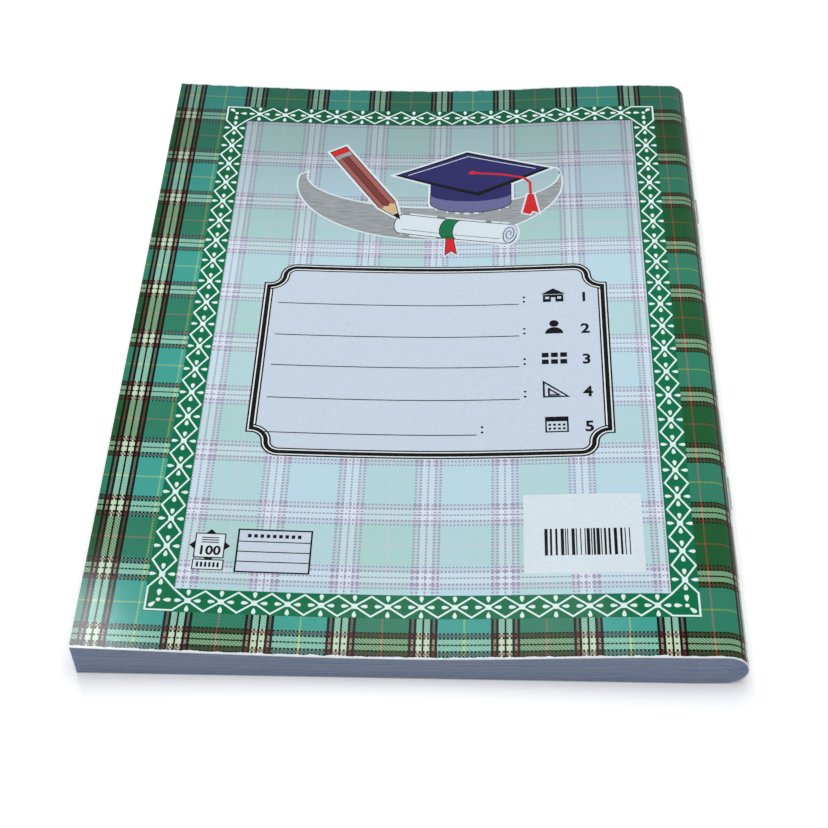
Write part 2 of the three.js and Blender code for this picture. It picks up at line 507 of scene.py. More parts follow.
@dataclass(frozen=True)
class TartanCard(Finish):
    """Offset-printed cover card: a woven tartan, a green border band and a pale panel inside it.

    The colour at a point is the warp's or the weft's thread, taken in turn along the diagonals of a twill,
    so two unlike threads show as fine slanting lines and a dark weft line as a row of dashes.
    """

    name: str = "gloss_laminated_tartan_card"
    full: ThreadSet = ThreadSet("#030403", "#64241C", "#CADEBF", "#42A497", "#185A2E", "#B8CF74", "#A44C36")
    pale: ThreadSet = ThreadSet("#A09EB4", "#CDCDDF", "#E0E8F4", "#BFDDEA", "#B1D7D3", "#C9DEE3", "#CFD0DB")
    # white of the edge line: a painted highlight, and partly bare card where film and ink came off
    band: str = "#007048"
    chipped: str = "#E8ECF0"
    sett_u: float = 22.04
    sett_v: float = 21.79
    first_u: float = 5.5
    first_v: float = -4.19
    # the printed card's hatch and dots are about 0.7 mm apart, too fine to show, so both are drawn coarser
    twill: float = 0.94
    twill_contrast: float = 0.28
    dots: float = 1.06
    dot_contrast: float = 4.0
    dot_share: float = 0.9
    line: float = 0.6
    thin_line: float = 0.54
    cream_edge: float = 1.86
    red_edge: float = 3.25
    shaded_to: float = 92.0
    shade_at_head: float = 0.77
    # greatest width of the edge line, which is a painted highlight and partly wear of film and ink
    worn_edge: float = 0.6
    # the painted highlight's waves and the chips of film and ink are about 3 mm long
    chips_in_metre: float = 350.0
    band_outer: Box = (17.8, 168.0, 12.0, 227.3)
    band_inner: Box = (25.5, 160.4, 19.8, 219.6)
    laminate: Laminate = Laminate()

    @staticmethod
    def for_eye(code: str, alpha: float = 1.0) -> Colour:
        """A colour in the eye's even steps, in which threads are mixed: linear light to the power 1 / 2.2."""
        return (*[channel ** (1 / EYE_GAMMA) for channel in hex_to_linear(code)[:3]], alpha)

    def threads(self, sett: float, colours: ThreadSet) -> list[tuple[float, Colour]]:
        """Order of the threads over two setts, from the middle of one stripe group.

        From its middle outwards a group is black, cream, black, red and black. Then the field follows, with
        a thin line halfway to the next group.

        Args:
            sett: Distance from one stripe group to the next.
            colours: The colours of the threads.

        Returns:
            Ramp stops; the alpha of a black thread is 1 and of any other 0.
        """
        edge, half_line = self.red_edge + self.line, self.thin_line / 2
        starts = (0.0, self.line / 2, self.cream_edge, self.cream_edge + self.line, self.red_edge, edge)
        stripes = (colours.black, colours.cream, colours.black, colours.red, colours.black)
        fields = ((0.0, colours.field_a, colours.line_a), (sett, colours.field_b, colours.line_b))
        marks = [(starts[0], stripes[0])]
        for first, field_colour, line_colour in fields:
            middle, end = first + sett / 2, first + sett
            marks += [(first + start, colour) for start, colour in zip(starts[1:], stripes[1:])]
            marks += [(first + edge, field_colour)]
            marks += [(middle - half_line, line_colour), (middle + half_line, field_colour)]
            marks += [(end - start, colour) for start, colour in zip(starts[:0:-1], stripes[::-1])]
        return [
            (start / (2 * sett), self.for_eye(colour, 1.0 if colour == colours.black else 0.0))
            for start, colour in marks
        ]

    @staticmethod
    def share_of_setts(tree: Tree, along: Socket, first: float, sett: float) -> Node:
        """How far along two setts a coordinate is, from 0 to 1.

        Args:
            tree: The material's node tree.
            along: The coordinate in millimetres.
            first: The middle of the first stripe group.
            sett: Distance from one stripe group to the next.

        Returns:
            The share.
        """
        shifted = add_node(tree, "Math", {0: along, 1: first}, operation="SUBTRACT")
        setts = add_node(tree, "Math", {0: shifted, 1: 2 * sett}, operation="DIVIDE")
        return add_node(tree, "Math", {0: setts}, operation="FRACT")

    @staticmethod
    def wave(tree: Tree, along: Node | Socket, pitch: float) -> Node:
        """A sine from -1 to 1 that repeats every pitch along a coordinate."""
        turns = add_node(tree, "Math", {0: along, 1: 2 * math.pi / pitch}, operation="MULTIPLY")
        return add_node(tree, "Math", {0: turns}, operation="SINE")

    def weave(
        self, tree: Tree, places: list[Node], waves: list[Node], colours: ThreadSet, whole_warp: bool
    ) -> Node:
        """Colour of the cloth: the warp's and the weft's thread, in turns by a wave.

        A black thread shows as a row of dots, and any other pair of unlike threads as a soft slanting hatch.

        Args:
            tree: The material's node tree.
            places: How far along two setts the point is, across the warp and across the weft.
            waves: Three waves from -1 to 1: along the twill's diagonal, along the weft and along the warp.
            colours: The colours of the threads.
            whole_warp: Whether a black warp shows as a whole line instead.

        Returns:
            The colour, in the eye's even steps.
        """
        ramps = []
        for place, sett in zip(places, (self.sett_u, self.sett_v)):
            ramps.append(add_node(tree, "ValToRGB", {"Fac": place}))
            fill_ramp(ramps[-1].color_ramp, self.threads(sett, colours), constant=True)
        (warp, weft), (hatch, along_weft, along_warp) = ramps, waves
        shown = add_node(tree, "Math", {0: hatch, 1: self.twill_contrast, 2: 0.5}, operation="MULTIPLY_ADD")
        dots = {0: along_weft, 1: self.dot_contrast, 2: -self.dot_share}
        turn = add_node(tree, "Math", dots, operation="MULTIPLY_ADD")
        black = {0: weft.outputs["Alpha"], 1: turn, 2: shown}
        shown = add_node(tree, "Math", black, operation="MULTIPLY_ADD", use_clamp=whole_warp)
        if whole_warp:
            shown = add_node(tree, "Math", {0: shown, 1: warp.outputs["Alpha"]}, operation="MAXIMUM")
        else:
            turn = add_node(tree, "Math", {0: along_warp, 1: self.dot_contrast}, operation="MULTIPLY")
            black = {0: warp.outputs["Alpha"], 1: turn, 2: shown}
            shown = add_node(tree, "Math", black, operation="MULTIPLY_ADD", use_clamp=True)
        return covered(tree, weft, [(shown, warp)])

    @staticmethod
    def inside(tree: Tree, u: Socket, v: Socket, box: Box) -> Node:
        """Mask of a rectangle: 1 where u and v are both within half its size of its middle.

        Args:
            tree: The material's node tree.
            u: The first coordinate.
            v: The second coordinate.
            box: Lowest and highest u, then lowest and highest v.

        Returns:
            The mask.
        """
        masks = [
            add_node(tree, "Math", {0: along, 1: (low + high) / 2, 2: (high - low) / 2}, operation="COMPARE")
            for along, low, high in ((u, *box[:2]), (v, *box[2:]))
        ]
        return add_node(tree, "Math", dict(enumerate(masks)), operation="MULTIPLY")

    def worn(self, tree: Tree, v: Socket) -> Node:
        """Mask of the white line along the tail and head edges: a painted highlight of the film's edge, and
        partly bare card where film and ink came off.

        It is where the distance to the nearer edge is below a width that noise makes uneven.

        Args:
            tree: The material's node tree.
            v: Distance from the head.

        Returns:
            The mask.
        """
        noise = grain(tree, self.chips_in_metre, detail=3.0)
        width = add_node(tree, "Math", {0: noise, 1: 2 * self.worn_edge}, operation="MULTIPLY")
        off_middle = add_node(tree, "Math", {0: v, 1: SHAPE.height / 2}, operation="SUBTRACT")
        reach = add_node(tree, "Math", {0: off_middle}, operation="ABSOLUTE")
        with_width = add_node(tree, "Math", {0: reach, 1: width}, operation="ADD")
        return add_node(tree, "Math", {0: with_width, 1: SHAPE.height / 2}, operation="GREATER_THAN")

    def sockets(self, tree: Tree) -> dict:
        """Work out the print's colour, darker towards the head, under the film, with a painted highlight
        along the tail and head edges.

        Args:
            tree: The material's node tree.

        Returns:
            The Principled shader's inputs.
        """
        split = add_node(tree, "SeparateXYZ", {"Vector": add_node(tree, "UVMap", uv_map="print")})
        u, v = split.outputs["X"], split.outputs["Y"]
        rows = ((u, self.first_u, self.sett_u), (v, self.first_v, self.sett_v))
        places = [self.share_of_setts(tree, *row) for row in rows]
        slant = add_node(tree, "Math", {0: u, 1: v}, operation="SUBTRACT")
        waves = [self.wave(tree, *row) for row in ((slant, self.twill), (u, self.dots), (v, self.dots))]
        panel = self.weave(tree, places, waves, self.pale, False)
        coats = [
            (self.inside(tree, u, v, self.band_outer), self.for_eye(self.band)),
            (self.inside(tree, u, v, self.band_inner), panel),
        ]
        printed = covered(tree, self.weave(tree, places, waves, self.full, True), coats)
        to_head = {"Value": v, "From Max": self.shaded_to, "To Min": self.shade_at_head}
        shade = {"Factor": 1.0, "A": printed, "B": add_node(tree, "MapRange", to_head)}
        shaded = add_node(tree, "Mix", shade, data_type="RGBA", blend_type="MULTIPLY")
        linear = add_node(tree, "Gamma", {"Color": shaded, "Gamma": EYE_GAMMA})
        # a white line is painted along the tail and head edges: a highlight of the film's edge, and partly
        # wear of film and ink
        finished = covered(tree, linear, [(self.worn(tree, v), hex_to_linear(self.chipped))])
        return {"Base Color": finished, **self.laminate.sockets(tree)}


@dataclass(frozen=True)
class Ink(Finish):
    """One solid offset ink under the same gloss film, with the faint mottle of ink on card."""

    colour: str
    mottle: float = 0.04
    streaks: bool = False
    # mottle is 0.8 mm across, and the streaks of a brush are 0.5 mm wide and ten times as long
    mottle_in_metre: float = 1250.0
    streaks_in_metre: Triple = (200.0, 2000.0, 200.0)
    laminate: Laminate = Laminate()

    def sockets(self, tree: Tree) -> dict:
        """Work out the ink's uneven colour, under the film.

        Args:
            tree: The material's node tree.

        Returns:
            The Principled shader's inputs.
        """
        noise = grain(tree, self.streaks_in_metre if self.streaks else self.mottle_in_metre, detail=2.0)
        low, high = (hex_to_linear(self.colour, share) for share in (1 - self.mottle, 1 + self.mottle))
        return {"Base Color": toned(tree, noise, low, high), **self.laminate.sockets(tree)}


@dataclass(frozen=True)
class BareCard(Finish):
    """Uncoated white side of the cover card: matt, with a fine tooth from its fibres."""

    name: str = "uncoated_white_card"
    colour: str = "#E9EBEF"
    darkest: float = 0.95
    roughness: float = 0.7
    ior: float = 1.5
    fibre: float = 0.35
    tooth: float = 0.01
    tooth_strength: float = 0.5

    def sockets(self, tree: Tree) -> dict:
        """Work out the card's faint mottle and its tooth, both from one noise.

        Args:
            tree: The material's node tree.

        Returns:
            The Principled shader's inputs.
        """
        noise = grain(tree, 1 / (self.fibre * MM), detail=3.0)
        white = toned(tree, noise, hex_to_linear(self.colour, self.darkest), hex_to_linear(self.colour))
        tooth = {"Height": noise, "Distance": self.tooth * MM, "Strength": self.tooth_strength}
        matt = {"Roughness": self.roughness, "IOR": self.ior}
        return {"Base Color": white, **matt, "Normal": add_node(tree, "Bump", tooth)}


@dataclass(frozen=True)
class RuledPaper(Finish):
    """Bright white writing paper, uncoated: matt and fibrous, with pale blue rules and a red margin."""

    name: str = "ruled_writing_paper"
    colour: str = "#EEF0F4"
    darkest: float = 0.96
    roughness: float = 0.8
    ior: float = 1.5
    fibre: float = 0.4
    rule: str = "#8FA9CC"
    margin: str = "#D98A8A"
    pitch: float = 8.0
    rule_width: float = 0.3
    ruled_height: float = 208.0
    margin_from_edge: float = 22.0

    def sockets(self, tree: Tree) -> dict:
        """Work out the ruling: a rule or a margin where the distance to the nearest one is small.

        Args:
            tree: The material's node tree.

        Returns:
            The Principled shader's inputs.
        """
        split = add_node(tree, "SeparateXYZ", {"Vector": add_node(tree, "TexCoord").outputs["Object"]})
        x, y = split.outputs["X"], split.outputs["Y"]
        half_rule = self.rule_width * MM / 2
        nearest = add_node(tree, "Math", {0: y, 1: self.pitch * MM / 2}, operation="PINGPONG")
        on_rule = add_node(tree, "Math", {0: nearest, 1: half_rule}, operation="LESS_THAN")
        ruled = {0: y, 1: 0.0, 2: self.ruled_height * MM / 2}
        in_height = add_node(tree, "Math", ruled, operation="COMPARE")
        # the margin is told by its distance from the fold, so a leaf that bends over keeps it on either side
        across = add_node(tree, "Math", {0: x, 1: SHAPE.axis_x * MM}, operation="SUBTRACT")
        from_fold = add_node(tree, "Math", {0: across}, operation="ABSOLUTE")
        line = {0: from_fold, 1: (SHAPE.fore_edge - self.margin_from_edge) * MM, 2: half_rule}
        on_margin = add_node(tree, "Math", line, operation="COMPARE")
        coats = [
            (add_node(tree, "Math", {0: mask, 1: in_height}, operation="MULTIPLY"), hex_to_linear(colour))
            for mask, colour in ((on_rule, self.rule), (on_margin, self.margin))
        ]
        noise = grain(tree, 1 / (self.fibre * MM), detail=3.0)
        white = toned(tree, noise, hex_to_linear(self.colour, self.darkest), hex_to_linear(self.colour))
        return {"Base Color": covered(tree, white, coats), "Roughness": self.roughness, "IOR": self.ior}


@dataclass(frozen=True)
class CutPaper(Finish):
    """Guillotined edges of writing paper, finely streaked; their grey is painted shade, of the gaps between
    the leaves and of a face turned from the light.
    """

    name: str = "guillotined_paper_edges"
    # both greys are painted shade: the edges are white paper, darkened as if in shade
    dark: str = "#6F83A9"
    light: str = "#8395BA"
    roughness: float = 0.75
    ior: float = 1.5
    # a streak is 25 mm long and about four leaves high, coarser than one leaf so that it shows
    streaks_in_metre: Triple = (40.0, 40.0, 2200.0)

    def sockets(self, tree: Tree) -> dict:
        """Work out the streaks: noise drawn out along the edge, finer across it.

        Args:
            tree: The material's node tree.

        Returns:
            The Principled shader's inputs.
        """
        noise = grain(tree, self.streaks_in_metre, detail=3.0, roughness=0.6)
        grey = toned(tree, noise, hex_to_linear(self.dark), hex_to_linear(self.light), spread=0.15)
        return {"Base Color": grey, "Roughness": self.roughness, "IOR": self.ior}


@dataclass(frozen=True)
class StapleWire(Finish):
    """Drawn and galvanised steel wire: bright, with faint lines along it."""

    name: str = "galvanised_staple_wire"
    colour: str = "#BDBFC4"
    darkest: float = 0.85
    smoothest: float = 0.22
    roughest: float = 0.38
    # the lines are 0.11 mm wide and 1.7 mm long
    lines_in_metre: Triple = (9000.0, 600.0, 9000.0)

    def sockets(self, tree: Tree) -> dict:
        """Work out the drawing lines, in the steel's colour and in its gloss.

        Args:
            tree: The material's node tree.

        Returns:
            The Principled shader's inputs.
        """
        noise = grain(tree, self.lines_in_metre, detail=2.0)
        steel = toned(tree, noise, hex_to_linear(self.colour, self.darkest), hex_to_linear(self.colour))
        span = {"Value": noise, "To Min": self.smoothest, "To Max": self.roughest}
        return {"Base Color": steel, "Metallic": 1.0, "Roughness": add_node(tree, "MapRange", span)}


# Flat shapes of the print


def disc(radius: float, sides: int = 16) -> np.ndarray:
    """Points of a regular polygon about the origin."""
    angle = np.linspace(0, 2 * math.pi, sides, endpoint=False)
    return radius * np.stack([np.cos(angle), np.sin(angle)], axis=1)


def drop(length: float, width: float, sides: int = 14) -> np.ndarray:
    """Teardrop along +u from the origin: an ellipse that is narrowed towards its start.

    Args:
        length: From its point to its round end.
        width: About its greatest width.
        sides: Points in its outline.

    Returns:
        An array of (sides, 2).
    """
    narrowed, fullness = 0.35, 1.55
    angle = np.linspace(0, 2 * math.pi, sides, endpoint=False)
    along = (1 - np.cos(angle)) / 2
    across = np.sin(angle) * (narrowed + (1 - narrowed) * along) * width / fullness
    return np.stack([along * length, across], axis=1)


def rectangle(left: float, right: float, top: float, bottom: float) -> np.ndarray:
    """Corners of a box given as lowest and highest u, then lowest and highest v."""
    return np.array([(left, top), (right, top), (right, bottom), (left, bottom)], float)


def turned(shape: np.ndarray, degrees: float) -> np.ndarray:
    """Turn a flat shape about the origin.

    Args:
        shape: Points of (n, 2).
        degrees: The angle, from +u towards +v.

    Returns:
        The turned points.
    """
    angle = math.radians(degrees)
    turn = np.array([[math.cos(angle), math.sin(angle)], [-math.sin(angle), math.cos(angle)]])
    return shape @ turn


def arc(centre: tuple, radii: tuple, first: float, last: float, steps: int = 10) -> np.ndarray:
    """Points on an ellipse about a centre, from one angle in degrees to another."""
    angle = np.radians(np.linspace(first, last, steps + 1))
    return np.array(centre) + np.stack([radii[0] * np.cos(angle), radii[1] * np.sin(angle)], axis=1)


def stroke(path: np.ndarray, width: float, closed: bool = False) -> np.ndarray:
    """Quads of a line of even width along a path.

    Each corner moves out along the bisector of its two segments, by half the width over the cosine of
    half its turn.

    Args:
        path: Points of (n, 2).
        width: The line's width.
        closed: Whether the last point joins the first.

    Returns:
        An array of (segments, 4, 2).
    """
    least_cosine = 0.4  # keeps the tip of a sharp corner short
    before = np.roll(path, 1, axis=0)
    after = np.roll(path, -1, axis=0)
    into, out = path - before, after - path
    if not closed:
        into[0], out[-1] = out[0], into[-1]
    into = into / np.linalg.norm(into, axis=1, keepdims=True)
    out = out / np.linalg.norm(out, axis=1, keepdims=True)
    middle = into + out
    middle /= np.linalg.norm(middle, axis=1, keepdims=True)
    across = np.stack([-middle[:, 1], middle[:, 0]], axis=1)
    cosine = np.maximum(np.sum(middle * out, axis=1, keepdims=True), least_cosine)
    left, right = path + across * width / 2 / cosine, path - across * width / 2 / cosine
    quads = np.stack([left, right, np.roll(right, -1, axis=0), np.roll(left, -1, axis=0)], axis=1)
    return quads if closed else quads[:-1]


class InkTone(Enum):
    """The inks of the print, each with its colour."""

    WHITE = "#DDE8EE"
    MINT = "#E2F6F3"
    PAPER = "#EDF3F5"
    PANEL = "#CDD9E7"
    BLACK = "#090A0B"
    LINE = "#2A2D33"
    NAVY = "#2B2A66"
    SLATE = "#6A6C98"
    RUSSET = "#7C3B38"
    ROSE = "#A8625C"
    WOOD = "#D9B98C"
    RED = "#D3262B"
    GREEN = "#15754A"
    GREY = "#9BA0A3"


@dataclass
class InkSet:
    """Makes each ink's material once and hands it out."""

    streaked: InkTone = InkTone.GREY
    streak_mottle: float = 0.22
    made: dict[InkTone, Material] = field(default_factory=dict)

    def get(self, tone: InkTone) -> Material:
        """Give the material of an ink.

        Args:
            tone: The ink.

        Returns:
            Its material, made at the first call.
        """
        if tone not in self.made:
            brushed = {"mottle": self.streak_mottle, "streaks": True} if tone is self.streaked else {}
            self.made[tone] = Ink(f"printed_{tone.name.lower()}_ink", tone.value, **brushed).build()
        return self.made[tone]


@dataclass
class PrintLayer:
    """Flat shapes of ink that follow the curve of the cover, each lifted by the ink under it."""

    name: str
    inks: InkSet
    side: Side = Side.FRONT
    base_lift: float = 0.012
    ink_step: float = 0.006
    cut_step: float = 3.0
    shapes: list[tuple[np.ndarray, InkTone, int]] = field(default_factory=list)

    def add(self, polygons: np.ndarray, tone: InkTone, level: int = 0) -> None:
        """Add polygons of one ink.

        Args:
            polygons: One polygon of (n, 2) or several of (k, n, 2), as u and v.
            tone: The ink.
            level: How many inks lie under it.
        """
        several = polygons if polygons.ndim == 3 else polygons[None]
        self.shapes += [(polygon, tone, level) for polygon in several]

    def line(
        self, path: np.ndarray, width: float, tone: InkTone, level: int = 0, closed: bool = False
    ) -> None:
        """Add a line of even width along a path."""
        self.add(stroke(path, width, closed), tone, level)

    def patch(
        self,
        path: np.ndarray,
        tone: InkTone,
        level: int,
        outline: float = 0.0,
        halo: float = 0.0,
        below: int = 1,
    ) -> None:
        """Add a shape with a black outline on it and a wider white line under it.

        Args:
            path: The shape's corners.
            tone: Its ink.
            level: How many inks lie under it; its outline has one more.
            outline: The width of the black outline.
            halo: The width of the white line.
            below: How many levels the white line lies below the shape.
        """
        if halo > 0:
            self.line(path, halo, InkTone.WHITE, level - below, closed=True)
        self.add(path, tone, level)
        if outline > 0:
            self.line(path, outline, InkTone.BLACK, level + 1, closed=True)

    def figures(self, text: str, place: tuple[float, float], size: float, swell: float = 0.03) -> None:
        """Add plain black figures, as faces taken from a text curve.

        Args:
            text: The figures.
            place: The u and v of the middle of their foot line.
            size: Their size.
            swell: How much bolder their strokes get, as a share of their size.
        """
        curve = bpy.data.curves.new("figures", "FONT")
        curve.body, curve.size, curve.align_x, curve.resolution_u = text, size, "CENTER", 3
        curve.offset = swell * size
        holder = bpy.data.objects.new("figures", curve)
        mesh = holder.to_mesh()
        flat = coordinates(mesh)[:, :2] * [1, -1] + place
        for polygon in mesh.polygons:
            self.add(flat[list(polygon.vertices)], InkTone.BLACK, 2)
        holder.to_mesh_clear()
        bpy.data.objects.remove(holder)
        bpy.data.curves.remove(curve)

    def build(self) -> Piece:
        """Cut the shapes into narrow bands and lay them on the cover.

        Returns:
            The piece, riding on its cover.
        """
        tones = sorted({tone for _, tone, _ in self.shapes}, key=lambda tone: tone.name)
        sizes = [len(polygon) for polygon, _, _ in self.shapes]
        ends = np.cumsum(sizes).tolist()
        flat = np.concatenate([polygon for polygon, _, _ in self.shapes])
        level = np.repeat([lift for _, _, lift in self.shapes], sizes)
        faces = [list(range(start, end)) for start, end in zip([0, *ends], ends)]
        mesh = bpy.data.meshes.new(self.name + "_flat")
        mesh.from_pydata(np.column_stack([flat, level]).tolist(), [], faces)
        slots = np.array([tones.index(tone) for _, tone, _ in self.shapes], np.int32)
        mesh.polygons.foreach_set("material_index", slots)
        shapes = bmesh.new()
        shapes.from_mesh(mesh)
        for cut in np.arange(flat[:, 0].min() + self.cut_step, flat[:, 0].max(), self.cut_step):
            everything = shapes.verts[:] + shapes.edges[:] + shapes.faces[:]
            bmesh.ops.bisect_plane(shapes, geom=everything, plane_co=(float(cut), 0, 0), plane_no=(1, 0, 0))
        shapes.to_mesh(mesh)
        shapes.free()
        points = coordinates(mesh)
        lift = self.base_lift + self.ink_step * points[:, 2]
        placed = SHAPE.on_cover(self.side, points[:, 0], points[:, 1], lift)
        slots = np.zeros(len(mesh.polygons), np.int32)
        mesh.polygons.foreach_get("material_index", slots)
        # v runs down, so a face that looks up in the flat looks down on the book
        facing = [-self.side.value * polygon.normal[2] for polygon in mesh.polygons]
        corners = [list(polygon.vertices) for polygon in mesh.polygons]
        faces = [face if turn > 0 else face[::-1] for face, turn in zip(corners, facing)]
        piece = new_piece(self.name, placed, faces, [self.inks.get(tone) for tone in tones], slots)
        bpy.data.meshes.remove(mesh)
        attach(piece, self.side.cover)
        return piece


@dataclass
class BorderOrnament:
    """Pale chain of diamonds along the green band, with a small star and four drops at each crossing."""

    inks: InkSet
    across: tuple[float, float, int] = (29.5, 9.07, 15)
    down: tuple[float, float, int] = (23.8, 9.56, 21)
    rows: tuple[float, float] = (15.7, 223.5)
    columns: tuple[float, float] = (21.5, 164.3)
    half_diamond: float = 3.3
    line_width: float = 0.56
    star_radius: float = 1.15
    star_waist: float = 0.72
    drop_length: float = 2.0
    drop_width: float = 1.25
    drop_start: float = 1.6
    corner_dot: float = 0.62
    corner_drop: tuple[float, float] = (2.2, 1.35)
    corner_shoulder: float = 4.1
    corner_inside: tuple[float, float] = (3.9, 3.7)

    def crossings(self) -> np.ndarray:
        """Middles of the crossings, first along the rows and then along the columns.

        Returns:
            An array of (n, 2).
        """
        u = self.across[0] + self.across[1] * np.arange(self.across[2])
        v = self.down[0] + self.down[1] * np.arange(self.down[2])
        in_rows = [np.column_stack([u, np.full_like(u, row)]) for row in self.rows]
        in_columns = [np.column_stack([np.full_like(v, column), v]) for column in self.columns]
        return np.concatenate([*in_rows, *in_columns])

    def add_crossings(self, layer: PrintLayer) -> None:
        """Add the star and the four drops at each crossing.

        Args:
            layer: The print layer.
        """
        middles = self.crossings()[:, None]
        star = disc(self.star_radius, 8) * np.where(np.arange(8) % 2 == 0, 1.0, self.star_waist)[:, None]
        layer.add(middles + turned(star, 45), InkTone.MINT, 1)
        tear = drop(self.drop_length, self.drop_width) + [self.drop_start, 0]
        for quarter in range(4):
            layer.add(middles + turned(tear, 90 * quarter), InkTone.MINT, 1)

    def add_diamonds(self, layer: PrintLayer, count: int, first: np.ndarray, step: np.ndarray) -> None:
        """Add the lines between neighbouring crossings: out to half a diamond and back, on both sides.

        Args:
            layer: The print layer.
            count: How many crossings the chain has.
            first: The first crossing.
            step: From one crossing to the next.
        """
        across = np.array([-step[1], step[0]]) / np.hypot(*step) * self.half_diamond
        zigzag = np.arange(2 * count - 1)[:, None]
        for hand in (1, -1):
            path = first + zigzag * step / 2 + hand * (zigzag % 2) * across
            layer.line(path, self.line_width, InkTone.MINT)

    def add_corner(self, layer: PrintLayer, flip: np.ndarray, origin: np.ndarray) -> None:
        """Add one corner piece, given as the corner at the head and fore-edge and mirrored to the others.

        Args:
            layer: The print layer.
            flip: 1 or -1 for u and for v.
            origin: The corner's crossing of the row's and the column's middle lines.
        """
        reach_u, reach_v = self.across[0] - self.columns[0], self.down[0] - self.rows[0]
        out, shoulder = self.half_diamond, self.corner_shoulder
        outline = np.array(
            [(reach_u, 0), (shoulder, -out), (-out, -out), (-out, shoulder), (0, reach_v), self.corner_inside]
        )
        layer.line(origin + outline * flip, self.line_width, InkTone.MINT, 0, closed=True)
        layer.add(origin + disc(self.corner_dot, 12) * flip, InkTone.MINT, 1)
        tear = drop(*self.corner_drop)
        for turn, start in ((0, 1.3), (90, 1.3), (225, 1.0)):
            layer.add(origin + turned(tear + [start, 0], turn) * flip, InkTone.MINT, 1)

    def build(self, side: Side) -> Piece:
        """Make the ornament of one cover.

        Args:
            side: Front or back cover.

        Returns:
            The piece.
        """
        layer = PrintLayer(f"border_ornament_{side.name.lower()}", self.inks, side)
        self.add_crossings(layer)
        (first_u, step_u, count_u), (first_v, step_v, count_v) = self.across, self.down
        for row in self.rows:
            self.add_diamonds(layer, count_u, np.array([first_u, row]), np.array([step_u, 0]))
        for column in self.columns:
            self.add_diamonds(layer, count_v, np.array([column, first_v]), np.array([0, step_v]))
        for n, column in enumerate(self.columns):
            for m, row in enumerate(self.rows):
                self.add_corner(layer, np.array([1 - 2 * n, 1 - 2 * m]), np.array([column, row]))
        return layer.build()


